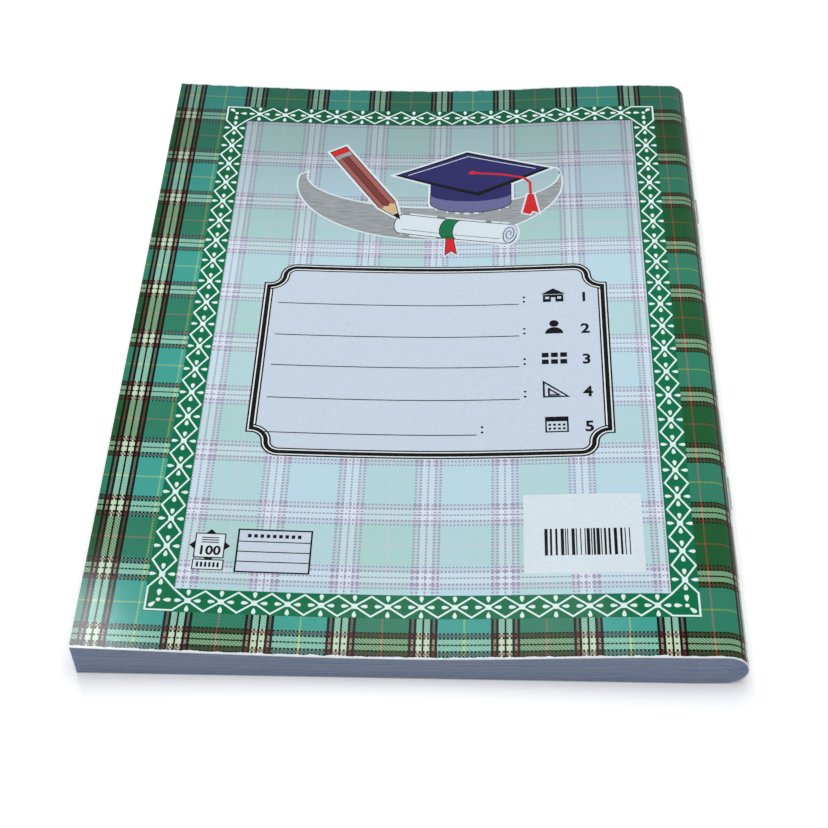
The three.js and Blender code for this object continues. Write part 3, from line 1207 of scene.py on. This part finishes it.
@dataclass
class NameLabel:
    """White label in a triple frame with ogee corners, with five writing lines and plain numbers."""

    inks: InkSet
    left: float = 40.6
    right: float = 146.5
    top: float = 92.6
    bottom: float = 169.9
    bulge: float = 3.9
    notch: float = 4.8
    frame_gap: float = 1.3
    frame_widths: Triple = (0.5, 1.3, 0.46)
    rules: tuple[float, ...] = (108.7, 122.5, 135.4, 148.7, 162.4)
    rule_start: float = 44.2
    rule_ends: tuple[float, ...] = (120.2, 120.2, 120.2, 120.2, 107.4)
    rule_width: float = 0.36
    signs_at: float = 131.0
    figures_at: float = 140.6
    figure_size: float = 5.6
    figure_rise: float = 0.6
    dot_radius: float = 0.42
    dot_start: float = 1.6
    dot_rises: tuple[float, float] = (1.0, 3.0)

    def frame(self, out: float) -> np.ndarray:
        """Outline of the frame, moved out by a distance.

        Each corner is a bulging quarter circle and then a hollow one about the corner of the label.

        Args:
            out: How far outside the thick line it runs.

        Returns:
            A closed path of (n, 2).
        """
        middle = np.array([(self.left + self.right) / 2, (self.top + self.bottom) / 2])
        half = np.array([self.right - self.left, self.bottom - self.top]) / 2
        low, hollow_size, bulge_size = half[1] - self.bulge, self.notch - out, self.bulge + out
        # the quarter at the right and the tail, seen from the label's middle
        hollow = arc((half[0], low), (hollow_size, hollow_size), 270, 180)
        bulged = arc((half[0] - self.notch - self.bulge, low), (bulge_size, bulge_size), 0, 90)
        quarter = np.concatenate([[[half[0] + out, low - self.notch + out]], hollow, bulged])
        mirrored = [(quarter * [-1, 1])[::-1], quarter * [-1, -1], (quarter * [1, -1])[::-1]]
        outline = np.concatenate([quarter, *mirrored])
        # a point that two arcs share is kept once
        apart = np.linalg.norm(outline - np.roll(outline, -1, axis=0), axis=1) > 1e-6
        return middle + outline[apart]

    def add_signs(self, layer: PrintLayer) -> None:
        """Add a small plain sign for each line: a house, a bust, desks, a set square and a calendar.

        Args:
            layer: The print layer.
        """
        rules, middle = self.rules, self.signs_at

        def add_box(
            line: int, left: float, width: float, foot: float, height: float, hole: bool = False
        ) -> None:
            """Add a box over a writing line, or a pale hole in such a box.

            Args:
                line: The number of the writing line.
                left: Its left side, from the middle of the signs.
                width: Its width.
                foot: How far it stands above the line.
                height: Its height.
                hole: Whether it is a hole.
            """
            start, low = middle + left, rules[line] - foot
            tone, level = (InkTone.PANEL, 3) if hole else (InkTone.BLACK, 2)
            layer.add(rectangle(start, start + width, low - height, low), tone, level)

        add_box(0, -3.2, 6.4, 0.6, 3.2)
        add_box(0, -0.7, 1.4, 0.6, 2.0, hole=True)
        for left in (-2.5, 1.3):
            add_box(0, left, 1.2, 1.9, 1.0, hole=True)
        eaves = rules[0] - 4.0
        roof = np.array([(middle - 3.9, eaves), (middle, eaves - 2.6), (middle + 3.9, eaves)])
        layer.add(roof, InkTone.BLACK, 2)
        layer.add(np.array([middle, rules[1] - 4.9]) + disc(1.45), InkTone.BLACK, 2)
        layer.add(arc((middle, rules[1] - 0.6), (2.8, 2.7), 180, 360, 12), InkTone.BLACK, 2)
        for n in range(6):
            add_box(2, -4.0 + 2.8 * (n % 3), 2.1, 0.7 + 2.8 * (n // 3), 1.9)
        for share in (1.0, 0.42):
            legs = np.array([(-3.6, 0), (3.6, 0), (-3.6, -6.0)]) * share
            corner = np.array([middle - 1.0 * (1 - share), rules[3] - 0.7 - 1.1 * (1 - share)])
            layer.line(corner + legs, 0.6, InkTone.BLACK, 2, closed=True)
        foot = rules[4] - 0.6
        page = rectangle(middle - 3.2, middle + 3.2, foot - 5.6, foot)
        layer.line(page, 0.5, InkTone.BLACK, 2, closed=True)
        add_box(4, -3.2, 6.4, 4.6, 1.6)
        for n in range(8):
            add_box(4, -2.5 + 1.4 * (n % 4), 0.8, 1.4 + 1.5 * (n // 4), 0.8)

    def build(self) -> Piece:
        """Make the label.

        Returns:
            The piece.
        """
        layer = PrintLayer("name_label", self.inks)
        steps = (self.frame_gap, 0.0, -self.frame_gap)
        layer.add(self.frame(steps[0]), InkTone.PAPER, 0)
        layer.add(self.frame(steps[-1]), InkTone.PANEL, 1)
        for out, width in zip(steps, self.frame_widths):
            layer.line(self.frame(out), width, InkTone.BLACK, 2, closed=True)
        rows = list(zip(self.rules, self.rule_ends))
        for rule, end in rows:
            layer.line(np.array([(self.rule_start, rule), (end, rule)]), self.rule_width, InkTone.LINE, 2)
        for number, (rule, end) in enumerate(rows, start=1):
            for rise in self.dot_rises:
                dot = disc(self.dot_radius, 10) + [end + self.dot_start, rule - rise]
                layer.add(dot, InkTone.BLACK, 2)
            layer.figures(str(number), (self.figures_at, rule - self.figure_rise), self.figure_size)
        self.add_signs(layer)
        return layer.build()


@dataclass
class SchoolEmblem:
    """Generic drawing for a school book: a mortarboard and a rolled paper, a pencil and a grey swoosh."""

    inks: InkSet
    outline: float = 0.28
    fine: float = 0.22
    halo: float = 1.9
    thin_halo: float = 1.2

    def add_swoosh(self, layer: PrintLayer) -> None:
        """Add the crescent: the space between a deep and a shallow half ellipse.

        Args:
            layer: The print layer.
        """
        outer = arc((90.5, 51.0), (44.5, 27.0), 188, -14, 40)
        inner = arc((91.5, 47.5), (43.0, 15.5), -10, 186, 40)
        layer.patch(np.concatenate([outer, inner]), InkTone.GREY, 1, halo=self.thin_halo)

    def add_pencil(self, layer: PrintLayer) -> None:
        """Add the pencil: three long facets, a cut wood tip with its lead, a ferrule and an eraser.

        Args:
            layer: The print layer.
        """
        origin, slope = np.array([58.5, 33.5]), 57.0
        length, half, tip, lead, lead_half = 33.0, 3.1, 41.5, 38.6, 1.05
        eraser, ferrule, scallop = 2.8, 4.6, 34.1
        facets = (-half, -1.1, 1.3, half)

        def lay(points: list | np.ndarray) -> np.ndarray:
            """Turn points along the pencil into the print's coordinates."""
            return origin + turned(np.array(points, float), slope)

        body = lay([(0, -half), (length, -half), (tip, 0), (length, half), (0, half)])
        layer.line(body, 2.0, InkTone.WHITE, 2, closed=True)
        layer.add(lay([(length, -half), (tip, 0), (length, half)]), InkTone.WOOD, 3)
        layer.add(lay([(lead, -lead_half), (tip, 0), (lead, lead_half)]), InkTone.BLACK, 4)
        for low, high, tone in zip(facets, facets[1:], (InkTone.ROSE, InkTone.RUSSET, InkTone.ROSE)):
            cut = (scallop, (low + high) / 2)
            layer.add(lay([(ferrule, low), (length, low), cut, (length, high), (ferrule, high)]), tone, 4)
        for start, end, tone in ((0, eraser, InkTone.RED), (eraser, ferrule, InkTone.GREY)):
            layer.add(lay(rectangle(start, end, -half, half)), tone, 4)
        for edge in facets[1:3]:
            layer.line(lay([(ferrule, edge), (length, edge)]), self.fine, InkTone.BLACK, 5)
        layer.line(body, 0.3, InkTone.BLACK, 5, closed=True)

    def add_roll(self, layer: PrintLayer) -> None:
        """Add the rolled paper: a slanting tube with a coil at its end and a green ribbon.

        The coil is an ellipse whose radii shrink evenly as it turns.

        Args:
            layer: The print layer.
        """
        origin, slope = np.array([82.5, 66.0]), 9.0
        length, radii = 36.0, (2.4, 4.6)
        axis = radii[1]

        def lay(points: list | np.ndarray) -> np.ndarray:
            """Turn points along the roll into the print's coordinates."""
            return origin + turned(np.array(points, float), slope)

        ends = [arc((0.0, axis), radii, 90, 270, 12), arc((length, axis), radii, -90, 90, 12)]
        layer.patch(lay(np.concatenate(ends)), InkTone.WHITE, 3, self.outline, self.halo, below=2)
        layer.add(lay(arc((length, axis), radii, 0, 360, 20)[:-1]), InkTone.PANEL, 5)
        turn = np.linspace(0, 4.2 * math.pi, 48)[:, None]
        spiral = np.concatenate([np.cos(turn), np.sin(turn)], axis=1) * (1 - turn / 16)
        layer.line(lay(spiral * radii + [length, axis]), 0.26, InkTone.BLACK, 6)
        layer.line(lay([(0.5, 7.2), (33.2, 7.2)]), self.fine, InkTone.LINE, 5)
        edges = [arc((15.0, axis), (2.2, 4.7), 90, 270, 10), arc((19.4, axis), (2.2, 4.7), 270, 90, 10)]
        layer.patch(lay(np.concatenate(edges)), InkTone.GREEN, 6, 0.24)
        tails = lay([(15.6, 8.6), (18.0, 8.2), (20.6, 16.4), (18.6, 15.0), (16.8, 17.2)])
        layer.patch(tails, InkTone.RED, 6, self.fine, self.thin_halo)

    def add_cap(self, layer: PrintLayer) -> None:
        """Add the mortarboard: a skull cap under a slanting square board, with a red tassel.

        Args:
            layer: The print layer.
        """
        left, right, rim = 91.0, 118.0, 50.0
        middle, half = (left + right) / 2, (right - left) / 2
        rounds = [arc((middle, low), (half, depth), 180, 0, 14) for low, depth in ((60.5, 4.6), (56.2, 3.4))]
        skull, shade = (np.concatenate([[(left, rim)], curve, [(right, rim)]]) for curve in rounds)
        layer.patch(skull, InkTone.SLATE, 3, self.outline, self.halo, below=2)
        layer.add(shade, InkTone.NAVY, 4)
        board = np.array([(79.0, 46.5), (103.0, 34.5), (131.0, 44.0), (107.0, 56.8)])
        layer.patch(board, InkTone.BLACK, 5, self.outline, self.halo, below=4)
        layer.add(np.array([(80.4, 46.2), (103.2, 35.3), (129.2, 43.9), (106.8, 55.2)]), InkTone.NAVY, 6)
        layer.line(np.array([(83.2, 46.3), (103.4, 36.6), (126.4, 44.0)]), 0.3, InkTone.WHITE, 7)
        button = np.array([105.0, 45.2])
        layer.add(button + disc(1.1) * [1.3, 0.8], InkTone.RED, 8)
        cord = np.array([button, (115.0, 46.4), (122.5, 48.6), (124.4, 51.0), (124.6, 58.0)])
        layer.line(cord, 0.9, InkTone.RED, 8)
        tassel = [(123.6, 57.0), (125.6, 57.0), (127.2, 66.5), (125.2, 65.4), (124.2, 67.0), (121.8, 66.0)]
        layer.patch(np.array(tassel), InkTone.RED, 8, halo=self.thin_halo)

    def build(self) -> Piece:
        """Make the emblem.

        Returns:
            The piece.
        """
        layer = PrintLayer("school_emblem", self.inks)
        self.add_swoosh(layer)
        self.add_pencil(layer)
        self.add_roll(layer)
        self.add_cap(layer)
        return layer.build()


@dataclass
class SmallPanels:
    """The leaf count badge, the sample of the ruling and the white panel with a block of plain bars."""

    inks: InkSet
    badge: Box = (29.3, 37.5, 200.6, 208.8)
    tag: Box = (29.3, 37.7, 209.6, 212.9)
    ruling: Box = (41.1, 61.6, 198.7, 213.2)
    ruling_lines: Triple = (202.8, 206.3, 209.7)
    heading: tuple[float, float] = (200.2, 201.4)
    panel: Box = (120.8, 154.0, 185.2, 212.5)
    bars: Box = (126.6, 151.2, 197.4, 206.6)
    bar_widths: tuple[float, ...] = (0.3, 0.3, 0.6, 0.9)
    bar_count: int = 60
    seed: int = 7
    line: float = 0.34

    def build_badge(self) -> Piece:
        """Make the badge: a white square with the leaf count between four black points, over a tag.

        Returns:
            The piece.
        """
        layer = PrintLayer("count_badge", self.inks)
        square = rectangle(*self.badge)
        middle, half = square.mean(axis=0), (self.badge[1] - self.badge[0]) / 2
        point = np.array([(half - 0.2, -1.7), (half + 1.6, 0), (half - 0.2, 1.7)])
        for quarter in range(4):
            layer.add(middle + turned(point, 90 * quarter), InkTone.BLACK, 0)
        layer.patch(square, InkTone.WHITE, 1, self.line)
        layer.figures("100", (middle[0], self.badge[3] - 1.0), 4.3)
        # three leaves seen edge on stand for sheets
        for n in range(3):
            row = self.badge[2] + 1.4 + 0.8 * n
            leaf = np.array([(middle[0] - 2.4, row), (middle[0] + 2.4, row)])
            layer.line(leaf, self.line, InkTone.BLACK, 2)
        layer.patch(rectangle(*self.tag), InkTone.WHITE, 1, 0.32)
        for n in range(6):
            left = self.tag[0] + 1.0 + 1.14 * n
            layer.add(rectangle(left, left + 0.62, self.tag[2] + 0.8, self.tag[3] - 0.8), InkTone.BLACK, 2)
        return layer.build()

    def build_ruling(self) -> Piece:
        """Make the sample of the ruling: a framed pale box with a heading of squares and lines.

        Returns:
            The piece.
        """
        layer = PrintLayer("ruling_sample", self.inks)
        layer.patch(rectangle(*self.ruling), InkTone.PANEL, 1, 0.5)
        left, right = self.ruling[:2]
        for row in self.ruling_lines:
            layer.line(np.array([(left, row), (right, row)]), self.line, InkTone.BLACK, 2)
        for n in range(9):
            start = left + 2.6 + 1.75 * n
            layer.add(rectangle(start, start + 1.0, *self.heading), InkTone.BLACK, 2)
        return layer.build()

    def build_panel(self) -> Piece:
        """Make the white panel with bars of seeded widths, which stand for no number.

        Returns:
            The piece.
        """
        layer = PrintLayer("bar_panel", self.inks)
        layer.add(rectangle(*self.panel), InkTone.WHITE, 0)
        widths = np.random.default_rng(self.seed).choice(self.bar_widths, self.bar_count)
        left, right, top, bottom = self.bars
        edges = left + np.concatenate([[0.0], np.cumsum(widths)])
        for start, end in zip(edges[:-1:2], edges[1::2]):
            if end <= right:
                layer.add(rectangle(start, end, top, bottom), InkTone.BLACK, 1)
        return layer.build()


# The book


@dataclass
class CoverHalf:
    """One half of the folded cover card: its panel and its quarter of the rounded spine."""

    side: Side
    printed: Material
    bare: Material

    def build(self) -> Piece:
        """Make the half, printed outside and bare inside and at its cuts.

        Returns:
            The piece, riding on its cover.
        """
        name, half = self.side.cover, SHAPE.height / 2
        inner = SHAPE.boundary(self.side, SHAPE.cover_inner)
        outer = SHAPE.boundary(self.side, SHAPE.cover_outer)
        vertices, faces, part = strip_solid(self.side, inner, outer, -half, half)
        along = np.concatenate([[0.0], np.cumsum(np.hypot(*np.diff(outer, axis=0).T))])
        uv = np.column_stack([np.repeat(along, 4), half - vertices[:, 1]])
        slots = np.where(part == 0, 0, 1)
        piece = new_piece(name + "_card", vertices, faces.tolist(), [self.printed, self.bare], slots, uv)
        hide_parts(name, name + "_spine")
        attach(piece, name)
        return piece


@dataclass
class LeafBundle:
    """One half of five sheets folded together, leaf by leaf, each trimmed a hair differently."""

    side: Side
    group: int
    paper: Material
    cut: Material
    air: float = 0.012
    trim: float = 0.16
    fold_height: float = 0.03
    stitched_height: float = 0.01
    slope_length: float = 6.0
    early_arch: float = 10.0
    early_fall: float = 3.0
    arch_end: float = 9.0

    def span(self) -> str:
        """Work out the numbers of the first and last leaf, as the CAD names them.

        Returns:
            Both numbers with three digits, joined by an underscore.
        """
        leaves = SHAPE.sheets_per_group
        step = -self.group if self.side is Side.FRONT else self.group - 1
        first = 1 + (SHAPE.group_count + step) * leaves
        return f"{first:03d}_{first + leaves - 1:03d}"

    def radius(self) -> float:
        """Distance of the bundle's innermost page from the fold axis."""
        pitch = SHAPE.sheets_per_group * SHAPE.leaf + SHAPE.group_gap
        return SHAPE.centre_gap / 2 + (self.group - 1) * pitch

    def closed_up(self, line: np.ndarray) -> np.ndarray:
        """Bring a page of the centre spread close to the other near the fold, as the stitching does.

        Its height turns to a small one over the last stretch before the gutter, in an even slope.

        Args:
            line: The page's section line.

        Returns:
            The line with its new heights.
        """
        near = np.clip(1 - (SHAPE.axis_x - line[:, 0] - SHAPE.gutter) / self.slope_length, 0.0, 1.0)
        stitched = SHAPE.axis_z + self.side.value * self.stitched_height
        return np.column_stack([line[:, 0], line[:, 1] * (1 - near) + stitched * near])

    def strip(self, leaf: int, short: np.ndarray) -> Strip:
        """Work out one leaf as a closed strip with a small air gap to the next.

        Args:
            leaf: Its number in the bundle, from the innermost.
            short: How much shorter it is at the fore-edge, the tail and the head.

        Returns:
            Its vertices, its faces and for each face its part.
        """
        start, half = self.radius() + leaf * SHAPE.leaf + self.air / 2, SHAPE.height / 2
        bends = leaf == 0 and self.group > 1
        inner, outer = (
            SHAPE.boundary(self.side, radius, short[0], self.fold_height, bends)
            for radius in (start, start + SHAPE.leaf - self.air)
        )
        if self.group == 1 and leaf == 0:
            inner = self.closed_up(inner)
        return strip_solid(self.side, inner, outer, short[1] - half, half - short[2])

    def join(self, name: str, strips: list[Strip]) -> Piece:
        """Make one piece of some leaves, white on their pages and grey at their cut edges.

        Args:
            name: The piece's name.
            strips: Vertices, faces and parts of each leaf.

        Returns:
            The piece, which rides on nothing yet.
        """
        before = np.cumsum([0] + [len(vertices) for vertices, _, _ in strips])
        piece = new_piece(
            name,
            np.concatenate([vertices for vertices, _, _ in strips]),
            np.concatenate([faces + first for (_, faces, _), first in zip(strips, before)]).tolist(),
            [self.paper, self.cut],
            np.where(np.concatenate([part for _, _, part in strips]) == 2, 1, 0),
        )
        return piece

    def bend_at_gutter(self, page: Piece) -> None:
        """Bake the innermost leaf's place into its mesh; it keeps the shape it was built with.

        Args:
            page: The leaf as a piece of its own.
        """
        inner = LeafBundle(self.side, self.group - 1, self.paper, self.cut).span()
        if self.side is Side.FRONT:
            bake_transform(page)
        else:
            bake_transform(page)

    def build(self) -> list[Piece]:
        """Make the bundle, and its innermost leaf as a piece of its own, except in the centre spread.

        Returns:
            The pieces; the bundle rides on its leaves, and the separate leaf on nothing yet.
        """
        random = np.random.default_rng(100 * self.group + self.side.value)
        strips = [self.strip(leaf, random.uniform(0, self.trim, 3)) for leaf in range(SHAPE.sheets_per_group)]
        span = self.span()
        pages = []
        if self.group > 1:
            number = span[-3:] if self.side is Side.FRONT else span[:3]
            pages = [self.join("leaf_" + number, strips[:1])]
            self.bend_at_gutter(pages[0])
            strips = strips[1:]
        bundle = self.join("leaf_bundle_" + span, strips)
        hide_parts("leaves_" + span, "gutter_" + span)
        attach(bundle, "leaves_" + span)
        return [bundle, *pages]


@dataclass
class Staple:
    """Round wire staple through the fold: a crown outside the spine and two ends clinched inside."""

    name: str
    middle_y: float
    wire: float = 0.5
    crown_length: float = 12.0
    clinch_length: float = 4.0
    crown_radius: float = 6.6
    clinch_depth: float = 0.2
    bend: float = 0.6
    tip_length: float = 0.14
    tip_share: float = 0.45
    sides: int = 12
    bend_steps: int = 6

    def centre_line(self) -> np.ndarray:
        """Path of the wire, with each corner rounded by a parabola that starts a bend before it.

        Returns:
            An array of (n, 2): distance from the fold axis, and y from the staple's middle.
        """
        half, inside = self.crown_length / 2, -self.clinch_depth
        leg = np.array([(inside, self.clinch_length - half), (inside, -half), (self.crown_radius, -half)])
        corners = np.concatenate([leg, (leg * [1, -1])[::-1]])
        share = np.linspace(0, 1, self.bend_steps + 1)[:, None]
        path = [corners[:1]]
        for before, corner, after in zip(corners[:-2], corners[1:-1], corners[2:]):
            start = corner + (before - corner) / np.linalg.norm(before - corner) * self.bend
            end = corner + (after - corner) / np.linalg.norm(after - corner) * self.bend
            path.append((1 - share) ** 2 * start + 2 * share * (1 - share) * corner + share**2 * end)
        return np.concatenate([*path, corners[-1:]])

    def build(self, material: Material) -> Piece:
        """Sweep a circle along the path, with both ends rounded off.

        Args:
            material: The wire's material.

        Returns:
            The piece, riding on the staples' body.
        """
        line = self.centre_line()
        along = np.gradient(line, axis=0)
        along /= np.linalg.norm(along, axis=1, keepdims=True)
        tips = line[[0, -1]] + along[[0, -1]] * [[self.tip_length], [-self.tip_length]]
        line = np.concatenate([line[:1], tips[:1], line[1:-1], tips[1:], line[-1:]])
        along = np.concatenate([along[:1], along, along[-1:]])
        radius = np.full(len(line), self.wire / 2)
        radius[[0, -1]] *= self.tip_share
        angle = np.linspace(0, 2 * math.pi, self.sides, endpoint=False)
        across = np.stack([-along[:, 1], along[:, 0]], axis=1)
        ring = radius[:, None] * np.cos(angle)
        x = SHAPE.axis_x + line[:, :1] + across[:, :1] * ring
        y = self.middle_y + line[:, 1:] + across[:, 1:] * ring
        z = SHAPE.axis_z + radius[:, None] * np.sin(angle)
        vertices = np.stack([x, y, z], axis=2).reshape(-1, 3)
        number = np.arange(len(line) * self.sides).reshape(len(line), self.sides)
        beside = np.roll(number, -1, axis=1)
        quads = np.stack([number[:-1], beside[:-1], beside[1:], number[1:]], axis=2).reshape(-1, 4)
        faces = quads.tolist() + [number[0][::-1].tolist(), number[-1].tolist()]
        piece = new_piece(self.name + "_wire", vertices, faces, [material], sharp_angle=60)
        shape = bmesh.new()
        shape.from_mesh(piece.data)
        bmesh.ops.recalc_face_normals(shape, faces=shape.faces[:])
        shape.to_mesh(piece.data)
        shape.free()
        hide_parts(self.name)
        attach(piece, "staples")
        return piece


# Studio


def seen(tree: Tree) -> Node:
    """Mask of what is seen itself, in a mirror or through glass, and not of what lights the book.

    Args:
        tree: The node tree.

    Returns:
        The greatest of the camera, glossy and transmission ray flags.
    """
    path = add_node(tree, "LightPath").outputs
    straight = {0: path["Is Camera Ray"], 1: path["Is Glossy Ray"]}
    either = {0: add_node(tree, "Math", straight, operation="MAXIMUM"), 1: path["Is Transmission Ray"]}
    return add_node(tree, "Math", either, operation="MAXIMUM")


@dataclass(frozen=True)
class PaleFloor(Finish):
    """Matt white studio floor that glows a little to the eye, so that it stays as pale as the sky."""

    name: str = "pale_floor"
    colour: str = "#F6F6F7"
    roughness: float = 0.9
    specular: float = 0.1
    glow_near: float = 0.24
    glow_far: float = 0.78
    near: float = 300.0
    far: float = 1300.0

    def sockets(self, tree: Tree) -> dict:
        """Work out the glow: it grows with the distance from the book, because the lamps reach less there.

        Args:
            tree: The material's node tree.

        Returns:
            The Principled shader's inputs.
        """
        place = add_node(tree, "TexCoord").outputs["Object"]
        away = add_node(tree, "VectorMath", {0: place}, operation="LENGTH").outputs["Value"]
        reach = {"Value": away, "From Min": self.near * MM, "From Max": self.far * MM}
        level = add_node(tree, "MapRange", {**reach, "To Min": self.glow_near, "To Max": self.glow_far})
        glow = add_node(tree, "Math", {0: seen(tree), 1: level}, operation="MULTIPLY")
        matt = {"Roughness": self.roughness, "Specular IOR Level": self.specular}
        glowing = {"Emission Color": (1, 1, 1, 1), "Emission Strength": glow}
        return {"Base Color": hex_to_linear(self.colour), **matt, **glowing}


@dataclass(frozen=True)
class Softbox:
    """Soft rectangular lamp that points at the middle of the book."""

    name: str
    place: Triple
    size: tuple[float, float]
    watts: float
    colour: str = "#FFFFFF"

    def build(self) -> None:
        """Hang the lamp."""
        lamp = bpy.data.lights.new(self.name, "AREA")
        lamp.shape, lamp.size, lamp.size_y = "RECTANGLE", self.size[0] * MM, self.size[1] * MM
        lamp.energy, lamp.color = self.watts, hex_to_linear(self.colour)[:3]
        holder = bpy.data.objects.new(self.name, lamp)
        aim = -Vector(self.place).normalized()
        turn = aim.to_track_quat("-Z", "Y").to_matrix().to_4x4()
        holder.matrix_world = Matrix.Translation(Vector(self.place) * MM) @ turn
        bpy.context.scene.collection.objects.link(holder)


@dataclass
class Studio:
    """Pale floor, soft lamps and the camera at the photograph's viewing angle."""

    lens: float = 72.258
    sensor: float = 36.0
    clip: tuple[float, float] = (0.01, 50.0)
    eye: Triple = (17.11, -359.24, 383.10)
    forward: Triple = (-0.037764, 0.65617, -0.753667)
    up: Triple = (-0.011595, 0.753867, 0.656925)
    floor_half: float = 3000.0
    sky: str = "#F3F6FB"
    sky_strength: float = 0.24
    lamps: tuple[Softbox, ...] = (
        Softbox("corner_softbox", (-282, 505, 1000), (120, 100), 1.5, "#F2F9FF"),
        Softbox("overhead_softbox", (60, 60, 1000), (900, 700), 7.6),
    )

    def build_camera(self) -> None:
        """Put the camera at its eye point, looking along its forward line."""
        camera = bpy.data.cameras.new("camera")
        camera.lens, camera.sensor_width, camera.sensor_fit = self.lens, self.sensor, "HORIZONTAL"
        camera.clip_start, camera.clip_end = self.clip
        back = -Vector(self.forward).normalized()
        right = Vector(self.up).cross(back).normalized()
        turn = Matrix((right, back.cross(right), back)).transposed().to_4x4()
        holder = bpy.data.objects.new("camera", camera)
        holder.matrix_world = Matrix.Translation(Vector(self.eye) * MM) @ turn
        bpy.context.scene.collection.objects.link(holder)
        bpy.context.scene.camera = holder

    def build_floor(self) -> None:
        """Lay a plain square floor that keeps the book's shadow."""
        corners = np.array([(-1, -1, 0), (1, -1, 0), (1, 1, 0), (-1, 1, 0)]) * self.floor_half
        new_piece("floor", corners, [[0, 1, 2, 3]], [PaleFloor().build()])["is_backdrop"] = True

    def build_world(self) -> None:
        """Light everything from a pale sky that the camera sees as white."""
        world = bpy.data.worlds.new("studio")
        bpy.context.scene.world = world
        world.use_nodes = True
        tree = world.node_tree
        tree.nodes.clear()
        light, white = (
            add_node(tree, "Background", {"Color": colour, "Strength": strength})
            for colour, strength in ((hex_to_linear(self.sky), self.sky_strength), ((1, 1, 1, 1), 1.0))
        )
        mixed = add_node(tree, "MixShader", {"Fac": seen(tree), 1: light, 2: white})
        add_node(tree, "OutputWorld", {"Surface": mixed})

    def build(self) -> None:
        """Build the camera, the floor, the sky and the lamps."""
        self.build_camera()
        self.build_floor()
        self.build_world()
        for lamp in self.lamps:
            lamp.build()


def main() -> None:
    """Build the notebook piece by piece, then the studio round it."""
    logging.basicConfig(level=logging.INFO, format="%(name)s: %(message)s")
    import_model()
    cad_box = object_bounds()
    scene = bpy.context.scene
    scene.view_settings.view_transform = "Standard"

    tartan, bare = TartanCard().build(), BareCard().build()
    pieces = [CoverHalf(side, tartan, bare).build() for side in Side]

    paper, cut = RuledPaper().build(), CutPaper().build()
    for side in Side:
        for group in range(1, SHAPE.group_count + 1):
            pieces += LeafBundle(side, group, paper, cut).build()

    wire = StapleWire().build()
    for name, middle_y in (("staple_upper", 60.0), ("staple_lower", -60.0)):
        pieces.append(Staple(name, middle_y).build(wire))

    inks = InkSet()
    pieces += [BorderOrnament(inks).build(side) for side in Side]
    pieces += [NameLabel(inks).build(), SchoolEmblem(inks).build()]
    panels = SmallPanels(inks)
    pieces += [panels.build_badge(), panels.build_ruling(), panels.build_panel()]
    for piece in pieces:
        log.info("%s: %d faces", piece.name, len(piece.data.polygons))

    Studio().build()
    boxes = {"cad": cad_box, "visual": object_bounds()}
    {name: [list(corner) for corner in box] for name, box in boxes.items()}


if __name__ == "__main__":
    main()
